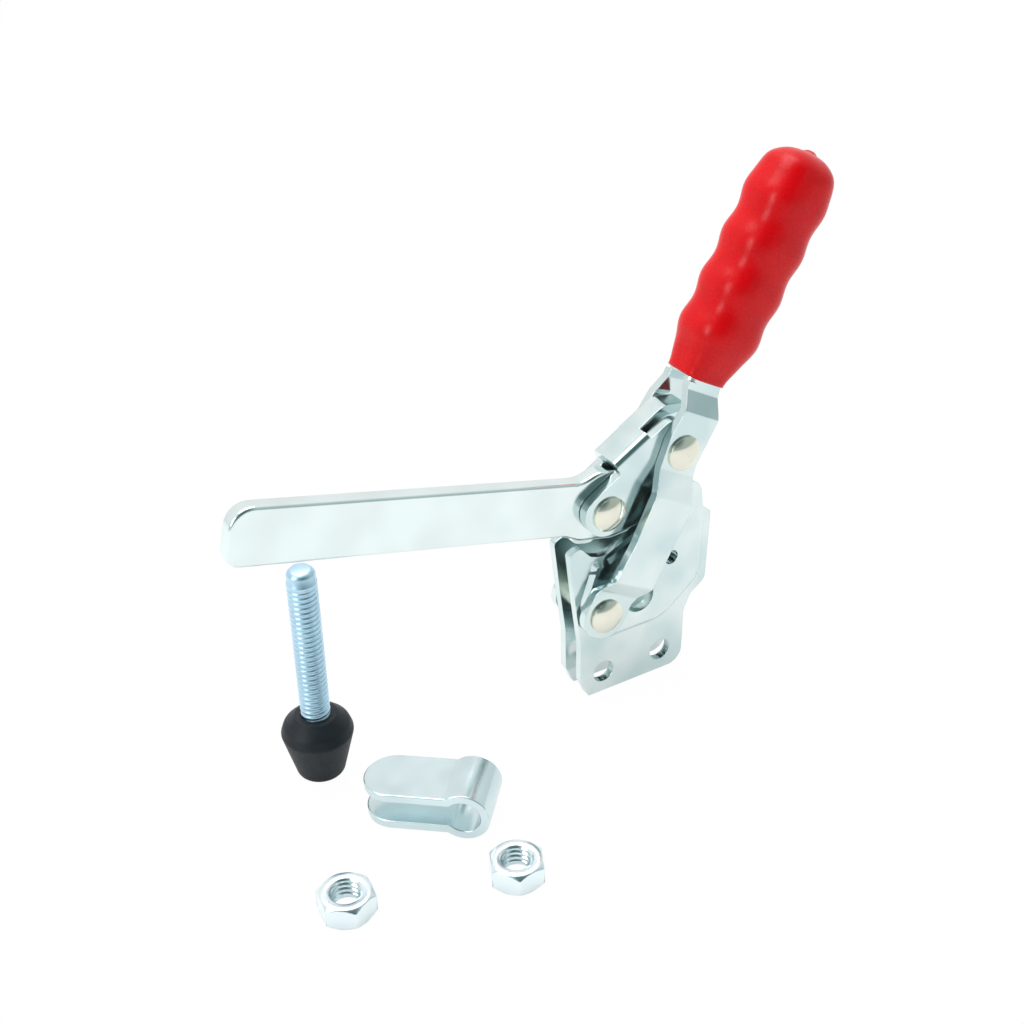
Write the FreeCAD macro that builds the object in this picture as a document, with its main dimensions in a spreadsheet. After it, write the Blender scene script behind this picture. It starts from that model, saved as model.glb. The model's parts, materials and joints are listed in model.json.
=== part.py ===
import FreeCAD, Part
import Sketcher
import math
import os

# Toggle clamp with a straight handle, a long solid arm and its loose bolt set.
# Origin: underside of the base, midway between the two bolt holes, on the clamp's centre plane.
# X runs along the clamp (the arm points to -X), Y is across it, Z is up.

os.makedirs("parts", exist_ok=True)
doc = FreeCAD.newDocument("toggle_clamp")
V = FreeCAD.Vector

SIZES = [
    ("hole_spacing", 19.5, "between the two bolt holes of the base"),
    ("hole_radius", 3.45, "bolt holes, for an M6 bolt"),
    ("hole_height", 6.8, "bolt hole centres above the underside"),
    ("pivot_forward", 11.5, "handle pivot, in front of the middle of the bolt holes"),
    ("pivot_height", 28.8, "handle pivot above the underside"),
    ("ear_back", 26.0, "arm pivot behind the handle pivot"),
    ("ear_rise", 25.0, "arm pivot above the handle pivot"),
    ("handle_reach", 50.5, "handle pivot to the link's pivot in the handle"),
    ("link_length", 25.8, "between the link's two pivots"),
    ("arm_crank", 24.3, "arm pivot to the link's pivot in the arm"),
    ("handle_lean", 29.0, "handle from upright as shown, degrees"),
    ("arm_thick", 5.0, "thickness of the solid arm"),
    ("arm_height", 16.0, "height of the arm's bar"),
    ("arm_length", 132.0, "arm pivot to the arm's tip"),
    ("arm_edge", 1.0, "rounding of the arm's long edges"),
    ("slip_gap", 0.25, "between moving faces, each side of the arm"),
    ("plate_thick", 2.4, "sheet of the base plates"),
    ("emboss_rise", 0.8, "raised area of the base plates"),
    ("window_radius", 4.7, "round window in each base plate"),
    ("window_bevel", 6.6, "outer radius of the window's bevel"),
    ("window_dish", 0.5, "depth of the window's bevel"),
    ("small_radius", 2.2, "small round hole in each base plate"),
    ("handle_thick", 2.5, "sheet of the handle"),
    ("handle_width", 12.6, "handle strip at the link's pivot"),
    ("handle_step", 2.2, "outward joggle of the handle strip"),
    ("handle_length", 124.0, "handle pivot to the end of the sheet inside the grip"),
    ("link_thick", 2.9, "sheet of the link"),
    ("link_pad", 7.0, "radius of the link's pads"),
    ("link_ridge", 11.3, "top of the link's bridge above its pivot line"),
    ("rivet_head", 5.0, "radius of the rivet heads"),
    ("rivet_dome", 2.1, "height of the rivet heads"),
    ("rivet_low", 1.6, "height of the low heads on the arm pivot"),
    ("rivet_shank", 2.6, "radius of the rivets"),
    ("arm_shank", 2.2, "radius of the arm pivot's rivet"),
    ("turn_gap", 0.05, "radial play of a turning hole"),
    ("float_radius", 2.6, "free play of the arm's rear pivot hole"),
    ("float_shift", 0.75, "offset of that hole from its pivot"),
    ("sleeve_radius", 4.4, "outside of the spacer sleeves"),
    ("grip_start", 70.0, "handle pivot to the open end of the grip"),
    ("grip_length", 64.5, "grip from its open end to its rounded end"),
    ("grip_width", 10.6, "half width of the grip, along X"),
    ("grip_depth", 10.0, "half depth of the grip, along Y"),
    ("grip_fit", 0.02, "clearance between the grip and the sheet"),
    ("web_bend", 2.3, "outer radius of the handle's fold inside the grip"),
    ("thread_radius", 3.95, "outside of the M8 thread"),
    ("core_radius", 3.35, "bore of the M8 nuts"),
    ("bolt_top", 65.1, "top of the bolt above the floor"),
    ("foot_height", 19.5, "rubber foot"),
    ("foot_radius", 9.75, "widest part of the rubber foot"),
    ("foot_base", 6.2, "underside of the rubber foot"),
    ("nut_flats", 13.0, "across the flats of the nuts"),
    ("nut_height", 6.5, "height of the nuts"),
    ("nut_chamfer", 1.1, "chamfer of the nuts' corners, along their axis"),
    ("clip_thick", 2.4, "strip of the bolt retainer"),
    ("clip_width", 16.0, "width of that strip"),
    ("clip_eye", 7.0, "outer radius of the retainer's eye"),
    ("clip_gap", 6.2, "slot between the retainer's legs, for the arm"),
    ("clip_length", 27.5, "retainer from its eye to its free ends"),
]

sheet = doc.addObject("Spreadsheet::Sheet", "Sizes")
for row, (alias, value, note) in enumerate(SIZES, 1):
    sheet.set("A%d" % row, alias)
    sheet.set("B%d" % row, str(value))
    sheet.set("C%d" % row, note)
    sheet.setAlias("B%d" % row, alias)
doc.recompute()


def size(alias):
    return float(sheet.get(alias))


# Places that follow from the sizes.
PIVOT = V(-size("pivot_forward"), 0, size("pivot_height"))
EAR = PIVOT + V(size("ear_back"), 0, size("ear_rise"))
LEAN = math.radians(size("handle_lean"))
KNEE = PIVOT + V(math.sin(LEAN), 0, math.cos(LEAN)) * size("handle_reach")


def elbow():
    """The link's pivot in the arm: where the crank and the link meet, on the arm's side."""
    line = EAR - KNEE
    span = line.Length
    along = (size("link_length") ** 2 - size("arm_crank") ** 2 + span ** 2) / (2 * span)
    off = math.sqrt(size("link_length") ** 2 - along ** 2)
    line.normalize()
    return KNEE + line * along + V(line.z, 0, -line.x) * off


ELBOW = elbow()
ARM_TILT = math.degrees(math.atan2(ELBOW.z - EAR.z, EAR.x - ELBOW.x))
LINK_TILT = math.degrees(math.atan2(KNEE.z - ELBOW.z, KNEE.x - ELBOW.x))

# Half widths across the clamp, from the arm outwards.
ARM_SIDE = size("arm_thick") / 2
PLATE_IN = ARM_SIDE + size("slip_gap")
PLATE_OUT = PLATE_IN + size("plate_thick")
RAISED = PLATE_OUT + size("emboss_rise")
LINK_IN = ARM_SIDE + size("slip_gap")
LINK_OUT = LINK_IN + size("link_thick")
PAD_IN = RAISED + 0.6 * size("slip_gap")
PAD_OUT = PAD_IN + size("handle_thick")
KNEE_IN = LINK_OUT + 0.6 * size("slip_gap")
KNEE_OUT = KNEE_IN + size("handle_thick")
STEP_IN = PAD_IN + size("handle_step")
MOUTH_OUT = KNEE_OUT - 2.7
MOUTH_IN = MOUTH_OUT - size("handle_thick")


def outline(points):
    """Closed outline from corners (u, v, radius): straight sides, round corners."""
    corners = []
    count = len(points)
    for i, (u, v, radius) in enumerate(points):
        here = V(u, v, 0)
        back = V(*points[i - 1][:2], 0) - here
        on = V(*points[(i + 1) % count][:2], 0) - here
        room = 0.495 * min(back.Length, on.Length)
        back.normalize()
        on.normalize()
        half = back.getAngle(on) / 2
        if radius <= 0 or half > math.pi / 2 - 1e-4:
            corners.append((here, None, here))
            continue
        reach = min(radius / math.tan(half), room)
        radius = reach * math.tan(half)
        middle = back + on
        middle.normalize()
        crown = here + middle * (radius / math.sin(half) - radius)
        corners.append((here + back * reach, crown, here + on * reach))
    edges = []
    for i, (start, crown, end) in enumerate(corners):
        if crown is not None:
            edges.append(Part.Arc(start, crown, end))
        following = corners[(i + 1) % count][0]
        if (following - end).Length > 1e-5:
            edges.append(Part.LineSegment(end, following))
    return edges


def inset(points, amount):
    """The same corners moved inwards by an amount, for an outline drawn counterclockwise."""
    moved = []
    count = len(points)
    for i, (u, v, radius) in enumerate(points):
        here = V(u, v, 0)
        back = here - V(*points[i - 1][:2], 0)
        on = V(*points[(i + 1) % count][:2], 0) - here
        back.normalize()
        on.normalize()
        left = V(-back.y, back.x, 0)
        right = V(-on.y, on.x, 0)
        shift = (left + right) * (amount / (1 + left.dot(right)))
        turn = back.cross(on).z
        moved.append((u + shift.x, v + shift.y, max(radius - math.copysign(amount, turn), 0.2)))
    return moved


def body(label, base=V(0, 0, 0), tilt=0.0):
    """A body placed at a point and turned about the cross axis."""
    made = doc.addObject("PartDesign::Body", label)
    made.Label = label
    made.Placement = FreeCAD.Placement(base, FreeCAD.Rotation(V(0, 1, 0), tilt))
    return made


def sketch(owner, name, role, offset, edges):
    """A sketch on one of the body's origin planes, moved along that plane's normal."""
    drawn = owner.newObject("Sketcher::SketchObject", name)
    plane = [item for item in owner.Origin.OriginFeatures if item.Role == role][0]
    drawn.AttachmentSupport = [(plane, "")]
    drawn.MapMode = "FlatFace"
    drawn.AttachmentOffset = FreeCAD.Placement(V(0, 0, offset), FreeCAD.Rotation())
    drawn.addGeometry(edges, False)
    return drawn


def ring(owner, name, role, offset, u, v, radius):
    """A circle whose radius is bound to a cell or to an expression of cells."""
    drawn = sketch(owner, name, role, offset, [])
    drawn.addGeometry(Part.Circle(V(u, v, 0), V(0, 0, 1), 1.0), False)
    limit = drawn.addConstraint(Sketcher.Constraint("Radius", 0, 1.0))
    drawn.setExpression("Constraints[%d]" % limit, radius)
    return drawn


def slab(owner, name, drawn, length):
    """Pad towards the sketch's normal; the length is an expression of cells."""
    pad = owner.newObject("PartDesign::Pad", name)
    pad.Profile = drawn
    pad.setExpression("Length", length)
    drawn.Visibility = False
    return pad


def cut(owner, name, drawn, length):
    """Pocket against the sketch's normal by a length given in cells."""
    pocket = owner.newObject("PartDesign::Pocket", name)
    pocket.Profile = drawn
    pocket.setExpression("Length", length)
    return pocket


def through(owner, name, drawn):
    """Pocket right through on both sides of the sketch."""
    pocket = owner.newObject("PartDesign::Pocket", name)
    pocket.Profile = drawn
    pocket.Type = "ThroughAll"
    pocket.Midplane = True
    return pocket


def spin(owner, name, drawn, role):
    """Revolve a half section about one of the body's axes."""
    turned = owner.newObject("PartDesign::Revolution", name)
    turned.Profile = drawn
    axis = [item for item in owner.Origin.OriginFeatures if item.Role == role][0]
    turned.ReferenceAxis = (axis, [""])
    turned.Angle = 360
    return turned


def loft(owner, name, sections):
    made = owner.newObject("PartDesign::AdditiveLoft", name)
    made.Profile = sections[0]
    made.Sections = sections[1:]
    return made


def plate_corners():
    """Outer shape of a base plate about the handle pivot."""
    low = -size("pivot_height")
    ear_x = size("ear_back")
    ear_z = size("ear_rise")
    front = -6.1
    rear = size("pivot_forward") + size("hole_spacing") / 2 + 8.15
    return [
        (front, low + 6.0, 1.5),
        (front + 2.7, low, 0.8),
        (rear - 0.3, low, 4.8),
        (rear, -10.8, 3.0),
        (rear + 2.2, -6.0, 2.5),
        (rear + 7.1, -2.3, 3.0),
        (rear + 7.9, 20.2, 1.6),
        (ear_x + 8.4, ear_z - 2.4, 1.5),
        (ear_x + 7.3, ear_z + 7.5, 7.1),
        (ear_x - 7.5, ear_z + 7.5, 7.1),
        (ear_x - 10.2, ear_z - 0.8, 5.0),
        (9.0, 20.6, 7.0),
        (1.2, 17.2, 5.0),
        (-3.0, 18.6, 3.0),
        (-6.6, 22.6, 1.8),
        (-9.9, 21.0, 1.4),
        (-8.1, 5.0, 40.0),
        (front - 0.1, -9.4, 20.0),
    ]


def emboss_corners():
    """Foot of the raised area of a base plate about the handle pivot."""
    ear_x = size("ear_back")
    ear_z = size("ear_rise")
    return [
        (-5.9, -1.7, 6.0),
        (-3.9, -6.6, 5.0),
        (2.6, -10.6, 8.0),
        (22.0, -10.6, 14.0),
        (34.6, 0.0, 8.0),
        (34.9, 18.6, 3.0),
        (ear_x + 6.6, ear_z - 2.6, 2.0),
        (ear_x + 5.8, ear_z + 6.4, 5.6),
        (ear_x - 6.2, ear_z + 6.4, 5.6),
        (ear_x - 9.2, ear_z - 2.6, 5.0),
        (9.2, 18.9, 6.0),
        (1.2, 15.6, 4.0),
        (-2.8, 17.0, 2.0),
        (-3.2, 13.6, 8.0),
        (-6.4, 4.2, 6.0),
    ]


def base_plate(label, side):
    """One base plate; side is -1 for the near one and +1 for the far one."""
    made = body(label, PIVOT)
    foot = PLATE_OUT if side > 0 else -PLATE_IN
    flat = sketch(made, label + "_outline", "XZ_Plane", -foot, outline(plate_corners()))
    slab(made, label + "_sheet", flat, "Sizes.plate_thick")
    face = side * PLATE_OUT
    top = side * RAISED
    wide = emboss_corners()
    lower = sketch(made, label + "_rise_foot", "XZ_Plane", -face, outline(wide))
    upper = sketch(made, label + "_rise_top", "XZ_Plane", -top, outline(inset(wide, 1.5)))
    loft(made, label + "_raised_area", [lower, upper])
    mid = size("pivot_forward")
    for number, shift in enumerate((-0.5, 0.5), 1):
        x = mid + shift * size("hole_spacing")
        z = size("hole_height") - size("pivot_height")
        name = "%s_bolt_hole_%d" % (label, number)
        hole = ring(made, name + "_circle", "XZ_Plane", 0, x, z, "Sizes.hole_radius")
        through(made, name, hole)
    rivet = ring(made, label + "_pivot_circle", "XZ_Plane", 0, 0, 0, "Sizes.rivet_shank")
    through(made, label + "_pivot_hole", rivet)
    ear = ring(made, label + "_ear_circle", "XZ_Plane", 0, size("ear_back"), size("ear_rise"),
               "Sizes.arm_shank")
    through(made, label + "_ear_hole", ear)
    sight = ring(made, label + "_window_circle", "XZ_Plane", 0, 13.4, -0.5,
                 "Sizes.window_radius")
    through(made, label + "_window", sight)
    small = ring(made, label + "_small_circle", "XZ_Plane", 0, 23.6, 9.7,
                 "Sizes.small_radius")
    through(made, label + "_small_hole", small)
    dish = ring(made, label + "_dish_circle", "XZ_Plane", -top, 13.4, -0.5,
                "Sizes.window_bevel")
    bevel = made.newObject("PartDesign::Pocket", label + "_window_bevel")
    bevel.Profile = dish
    bevel.setExpression("Length", "Sizes.window_dish")
    slope = (size("window_bevel") - size("window_radius") + 0.1) / size("window_dish")
    bevel.TaperAngle = -math.degrees(math.atan(slope))
    bevel.Reversed = side > 0
    return made


def sleeve(label, place, half, shank):
    """Tube round a rivet; half is its half length, shank the cell of the rivet's radius."""
    made = body(label, place)
    circle = ring(made, label + "_outside", "XZ_Plane", -half, 0, 0, "Sizes.sleeve_radius")
    pad = made.newObject("PartDesign::Pad", label + "_tube")
    pad.Profile = circle
    pad.Length = 2 * half
    bore = ring(made, label + "_inside", "XZ_Plane", 0, 0, 0, shank)
    through(made, label + "_bore", bore)
    return made


def rivet(label, place, half, radius, dome):
    """Rivet with a low dome at each end, spun about the cross axis."""
    made = body(label, place)
    head = size("rivet_head")
    rim = 0.3 * dome
    crown = dome - rim
    ball = (head ** 2 + crown ** 2) / (2 * crown)
    middle = 0.6 * head
    bow = V(middle, half + dome - ball + math.sqrt(ball ** 2 - middle ** 2), 0)
    top = V(0, half + dome, 0)
    edge = V(head, half + rim, 0)
    flip = [V(point.x, -point.y, 0) for point in (bow, top, edge)]
    seat = V(head, half, 0)
    neck = V(radius, half, 0)
    edges = [
        Part.Arc(top, bow, edge),
        Part.LineSegment(edge, seat),
        Part.LineSegment(seat, neck),
        Part.LineSegment(neck, V(neck.x, -neck.y, 0)),
        Part.LineSegment(V(neck.x, -neck.y, 0), V(seat.x, -seat.y, 0)),
        Part.LineSegment(V(seat.x, -seat.y, 0), flip[2]),
        Part.Arc(flip[2], flip[0], flip[1]),
        Part.LineSegment(flip[1], top),
    ]
    half_section = sketch(made, label + "_section", "XY_Plane", 0, edges)
    spin(made, label + "_turned", half_section, "Y_Axis")
    return made


def arm():
    """Solid arm, drawn level with its rear pivot at the origin."""
    made = body("clamping_arm", EAR, ARM_TILT)
    half = size("arm_height") / 2
    crank = size("arm_crank")
    tip = -size("arm_length")
    end = half - 1.0
    shape = [
        (tip, half, 6.0),
        (tip, -half, 3.8),
        (-crank - 11.2, -half, 9.0),
        (-crank - 5.2, -half - 1.6, 8.0),
        (-crank + 5.4, -half - 1.6, 9.0),
        (-crank + 13.0, -end, 12.0),
        (end, -end, end),
        (end, end, end),
        (-crank + 15.6, end, 12.0),
        (-crank + 5.6, half + 3.1, 9.0),
        (-crank - 3.4, half + 3.1, 8.0),
        (-crank - 8.4, half, 9.0),
    ]
    flat = sketch(made, "arm_outline", "XZ_Plane", -ARM_SIDE, outline(shape))
    slab(made, "arm_bar", flat, "Sizes.arm_thick")
    doc.recompute()
    rims = []
    solid = made.Shape.copy()
    solid.Placement = FreeCAD.Placement()
    for index, edge in enumerate(solid.Edges, 1):
        spread = edge.BoundBox
        if spread.YLength < 1e-6:
            rims.append("Edge%d" % index)
    bar = made.Tip
    round_off = made.newObject("PartDesign::Fillet", "arm_rounded_edges")
    round_off.Base = (bar, rims)
    round_off.setExpression("Radius", "Sizes.arm_edge")
    doc.recompute()
    link_hole = ring(made, "arm_link_circle", "XZ_Plane", 0, -crank, 0,
                     "Sizes.rivet_shank + Sizes.turn_gap")
    through(made, "arm_link_hole", link_hole)
    rear_hole = ring(made, "arm_rear_circle", "XZ_Plane", 0, -size("float_shift"), 0,
                     "Sizes.arm_shank + Sizes.float_radius")
    through(made, "arm_rear_hole", rear_hole)
    return made


def link():
    """Folded link: two side plates joined by a bridge, with a curled tongue on the far side."""
    made = body("link_bracket", ELBOW, -LINK_TILT)
    pad = size("link_pad")
    top = size("link_ridge")
    far = size("link_length")
    thick = size("link_thick")
    shape = [
        (-pad, -0.58 * pad, pad),
        (pad - 0.8, -pad - 4.1, 3.5),
        (2 * pad - 0.6, -pad + 0.4, 4.0),
        (far - pad, -3.8, 6.0),
        (far + 0.8 * pad, -5.2, 5.6),
        (far + 0.84 * pad, 2.0, pad),
        (far + 4.4, top - 2.0, 4.0),
        (21.0, top - 1.6, 0),
        (21.0, top, 0),
        (9.1, top, 0),
        (8.7, pad + 0.4, 0.8),
        (-pad, pad, pad),
    ]
    flat = sketch(made, "link_outline", "XZ_Plane", -LINK_OUT, outline(shape))
    pad_feature = made.newObject("PartDesign::Pad", "link_block")
    pad_feature.Profile = flat
    pad_feature.Length = 2 * LINK_OUT
    under = top - thick
    hollow = [(-30, -30, 0), (60, -30, 0), (60, 30, 0), (21.0, 30, 0), (21.0, under, 0), (-30, under, 0)]
    space = sketch(made, "link_hollow", "XZ_Plane", LINK_IN, outline(hollow))
    cut(made, "link_space", space, "Sizes.arm_thick + 2 * Sizes.slip_gap")
    doc.recompute()
    solid = made.Shape.copy()
    solid.Placement = FreeCAD.Placement()
    bends = []
    for index, edge in enumerate(solid.Edges, 1):
        spread = edge.BoundBox
        level = spread.ZLength < 1e-6 and abs(spread.ZMin - top) < 1e-6
        if level and spread.XLength > 8 and abs(abs(spread.YMin) - LINK_OUT) < 1e-6:
            bends.append("Edge%d" % index)
    folded = made.Tip
    curve = made.newObject("PartDesign::Fillet", "link_bends")
    curve.Base = (folded, bends)
    curve.Radius = 1.8
    tongue = [
        (18.0, under, 0),
        (28.6, under, 4.0),
        (34.4, under - 3.6, 0.4),
        (35.8, under - 1.8, 0.4),
        (30.2, top, 6.0),
        (18.0, top, 0),
    ]
    lip = sketch(made, "link_tongue_outline", "XZ_Plane", -(LINK_OUT - 1.0), outline(tongue))
    leaf = made.newObject("PartDesign::Pad", "link_tongue")
    leaf.Profile = lip
    leaf.Length = LINK_OUT + 0.4
    for name, where in (("link_arm_hole", 0), ("link_handle_hole", far)):
        hole = ring(made, name + "_circle", "XZ_Plane", 0, where, 0,
                    "Sizes.rivet_shank" if where == 0 else "Sizes.rivet_shank + Sizes.turn_gap")
        through(made, name, hole)
    return made


def handle_profile():
    """Side of the folded handle strip seen along X: (distance across, height) of its inner face."""
    return [
        (PAD_IN, -9.0),
        (PAD_IN, 6.8),
        (STEP_IN, 11.0),
        (STEP_IN, 37.2),
        (KNEE_IN, 44.8),
        (KNEE_IN, 61.4),
        (MOUTH_IN, 67.0),
    ]


def handle():
    """One folded sheet: two joggled legs joined by a web at the front, inside the grip."""
    made = body("handle_lever", PIVOT, size("handle_lean"))
    half = size("handle_width") / 2
    reach = size("handle_reach")
    end = size("handle_length")
    thick = size("handle_thick")
    mouth = half - 1.6
    web_face = -half - 0.1
    shape = [
        (-7.0, -7.0, 7.0),
        (7.0, -7.0, 7.0),
        (6.9, 4.6, 2.5),
        (9.8, 10.6, 3.0),
        (9.8, 34.0, 5.0),
        (half + 1.2, 43.2, 5.0),
        (half, 48.0, 8.0),
        (half + 0.4, 62.4, 5.0),
        (mouth, 69.0, 5.0),
        (mouth, end, 3.0),
        (web_face, end, 3.0),
        (web_face, 68.0, 5.0),
        (-half + 0.4, 62.0, 8.0),
        (-half - 0.5, 54.0, 12.0),
        (-half + 1.8, 38.0, 12.0),
        (-3.6, 22.0, 20.0),
        (-4.2, 12.0, 6.0),
        (-7.0, 6.0, 5.0),
    ]
    outside = STEP_IN + thick
    flat = sketch(made, "handle_outline", "XZ_Plane", -outside, outline(shape))
    block = made.newObject("PartDesign::Pad", "handle_block")
    block.Profile = flat
    block.Length = 2 * outside
    inner = handle_profile()
    web = size("grip_start") + 0.5
    beyond = outside + 3
    for side in (-1, 1):
        outer = [(side * (across + thick), height) for across, height in inner]
        waste = [(u, v, 1.5) for u, v in outer]
        waste = [(outer[0][0], -12, 0)] + waste[1:]
        waste += [(side * MOUTH_OUT, end + 5, 0), (side * beyond, end + 5, 0), (side * beyond, -12, 0)]
        name = "handle_outer_%s" % ("near" if side < 0 else "far")
        through(made, name, sketch(made, name + "_outline", "YZ_Plane", 0, outline(waste)))
    slot = [(across, height, 1.5) for across, height in inner]
    slot[0] = (PAD_IN, -12, 0)
    right = slot + [(MOUTH_IN, web, 0)]
    left = [(-u, v, radius) for u, v, radius in right]
    arch = [(MOUTH_IN, web, 3.0), (-MOUTH_IN, web, 3.0)]
    inside = right[:-1] + arch + left[:-1][::-1]
    through(made, "handle_slot", sketch(made, "handle_slot_outline", "YZ_Plane", 0, outline(inside)))
    core = [(-MOUTH_IN, web, 0), (MOUTH_IN, web, 0), (MOUTH_IN, end + 5, 0), (-MOUTH_IN, end + 5, 0)]
    hollow = made.newObject("PartDesign::Pocket", "handle_hollow")
    hollow.Profile = sketch(made, "handle_hollow_outline", "YZ_Plane", web_face + thick, outline(core))
    hollow.Type = "ThroughAll"
    hollow.Reversed = True
    bend = size("web_bend")
    for side in (-1, 1):
        near = V(web_face, side * (MOUTH_OUT - bend), 0)
        far = V(web_face + bend, side * MOUTH_OUT, 0)
        crown = V(far.x, near.y, 0) + V(-1, side, 0) * (bend / math.sqrt(2))
        outer = side * (MOUTH_OUT + 1)
        waste = [
            Part.Arc(near, crown, far),
            Part.LineSegment(far, V(far.x, outer, 0)),
            Part.LineSegment(V(far.x, outer, 0), V(web_face - 1, outer, 0)),
            Part.LineSegment(V(web_face - 1, outer, 0), V(web_face - 1, near.y, 0)),
            Part.LineSegment(V(web_face - 1, near.y, 0), near),
        ]
        name = "handle_fold_%s" % ("near" if side < 0 else "far")
        fold = made.newObject("PartDesign::Pocket", name)
        fold.Profile = sketch(made, name + "_outline", "XY_Plane", size("grip_start") - 1, waste)
        fold.Type = "ThroughAll"
        fold.Reversed = True
    for name, height, radius in (
        ("handle_pivot_hole", 0, "Sizes.rivet_shank + Sizes.turn_gap"),
        ("handle_link_hole", reach, "Sizes.rivet_shank"),
    ):
        through(made, name, ring(made, name + "_circle", "XZ_Plane", 0, 0, height, radius))
    return made


def grip():
    """Moulded grip with finger waves, closed at its far end."""
    made = body("handle_grip", PIVOT, size("handle_lean"))
    start = size("grip_start")
    length = size("grip_length")
    wide = size("grip_width")
    deep = size("grip_depth")
    crown = 8.6
    stations = [3.2 * i for i in range(int((length - crown) / 3.2) + 1)]
    rounds = [math.radians(angle) for angle in (18, 36, 54, 70, 84)]
    heights = [(height, 0.0) for height in stations]
    heights += [(length - crown + crown * math.sin(angle), crown * (1 - math.cos(angle))) for angle in rounds]
    sections = []
    for i, (height, taper) in enumerate(heights):
        wave = 0.35 * math.cos(2 * math.pi * (height - 13.0) / 12.8)
        flare = math.exp(-(height / 7.5) ** 2)
        across = wide - (wide - 6.9) * flare + wave * (1 - flare) - taper
        deeply = deep - (deep - 6.7) * flare + wave * (1 - flare) - taper
        turn = 0.94 * min(across, deeply) - 2.8 * flare
        shift = -0.4 + 0.6 * (1 - flare) + 0.024 * height
        corners = [(shift - across, -deeply, turn), (shift + across, -deeply, turn),
                   (shift + across, deeply, turn), (shift - across, deeply, turn)]
        sections.append(sketch(made, "grip_section_%d" % i, "XY_Plane", start + height, outline(corners)))
    loft(made, "grip_skin", sections)
    fit = size("grip_fit")
    front = -size("handle_width") / 2 - 0.1 - fit
    rear = size("handle_width") / 2 - 1.6 + fit
    side = MOUTH_OUT + fit
    bend = size("web_bend") + fit
    hole = [(front, -side, bend), (rear, -side, 0), (rear, side, 0), (front, side, bend)]
    mouth = sketch(made, "grip_socket_outline", "XY_Plane", start - 1, outline(hole))
    socket = made.newObject("PartDesign::Pocket", "grip_socket")
    socket.Profile = mouth
    socket.Reversed = True
    socket.setExpression("Length", "Sizes.handle_length - Sizes.grip_start + 1 + Sizes.grip_fit")
    return made


def spindle():
    """Clamping bolt, upright on its foot; its thread runs from the foot to a plain tip."""
    made = body("spindle_bolt", BOLT_PLACE)
    radius = size("thread_radius")
    top = size("bolt_top")
    low = size("foot_height") - 9.0
    section = [
        (0, low, 0),
        (radius - 0.7, low, 0),
        (radius, low + 0.7, 0),
        (radius, top - 4.2, 0),
        (radius - 0.3, top - 3.9, 0),
        (radius - 0.3, top - 1.2, 0),
        (radius - 1.4, top, 0),
        (0, top, 0),
    ]
    spin(made, "spindle_turned", sketch(made, "spindle_section", "XZ_Plane", 0, outline(section)), "Z_Axis")
    return made


def foot():
    """Tapered rubber foot moulded round the lower end of the bolt."""
    made = body("spindle_foot", BOLT_PLACE)
    radius = size("thread_radius")
    tall = size("foot_height")
    wide = size("foot_radius")
    low = tall - 9.0
    section = [
        (0, 0, 0),
        (size("foot_base"), 0, 2.2),
        (wide, 0.71 * tall, 2.0),
        (wide - 0.9, 0.84 * tall, 2.4),
        (radius + 1.6, tall, 1.0),
        (radius, tall, 0),
        (radius, low + 0.7, 0),
        (radius - 0.7, low, 0),
        (0, low, 0),
    ]
    spin(made, "foot_turned", sketch(made, "foot_section", "XZ_Plane", 0, outline(section)), "Z_Axis")
    return made


def nut(label, place, turn):
    """Hexagon nut lying flat, its corners and its bore chamfered."""
    made = body(label)
    made.Placement = FreeCAD.Placement(place, FreeCAD.Rotation(V(0, 0, 1), turn))
    corner = size("nut_flats") / math.sqrt(3)
    tall = size("nut_height")
    angles = [math.radians(60 * i) for i in range(6)]
    hexagon = [(corner * math.cos(a), corner * math.sin(a), 0) for a in angles]
    slab(made, label + "_prism", sketch(made, label + "_hexagon", "XY_Plane", 0, outline(hexagon)),
         "Sizes.nut_height")
    axis = [item for item in made.Origin.OriginFeatures if item.Role == "Z_Axis"][0]
    rim = size("nut_flats") / 2 - 0.3
    drop = size("nut_chamfer")
    bore = size("core_radius")
    mouth = size("thread_radius") + 0.42
    for name, section in (
        ("top_chamfer", [(rim, tall, 0), (corner, tall - drop, 0), (corner + 1, tall - drop, 0),
                         (corner + 1, tall + 1, 0), (rim, tall + 1, 0)]),
        ("low_chamfer", [(rim, 0, 0), (rim, -1, 0), (corner + 1, -1, 0),
                         (corner + 1, drop, 0), (corner, drop, 0)]),
        ("bore", [(0, -1, 0), (mouth + 1, -1, 0), (bore, mouth - bore, 0), (bore, tall - mouth + bore, 0),
                  (mouth + 1, tall + 1, 0), (0, tall + 1, 0)]),
    ):
        groove = made.newObject("PartDesign::Groove", label + "_" + name)
        groove.Profile = sketch(made, label + "_" + name + "_section", "XZ_Plane", 0, outline(section))
        groove.ReferenceAxis = (axis, [""])
        groove.Angle = 360
    return made


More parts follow.
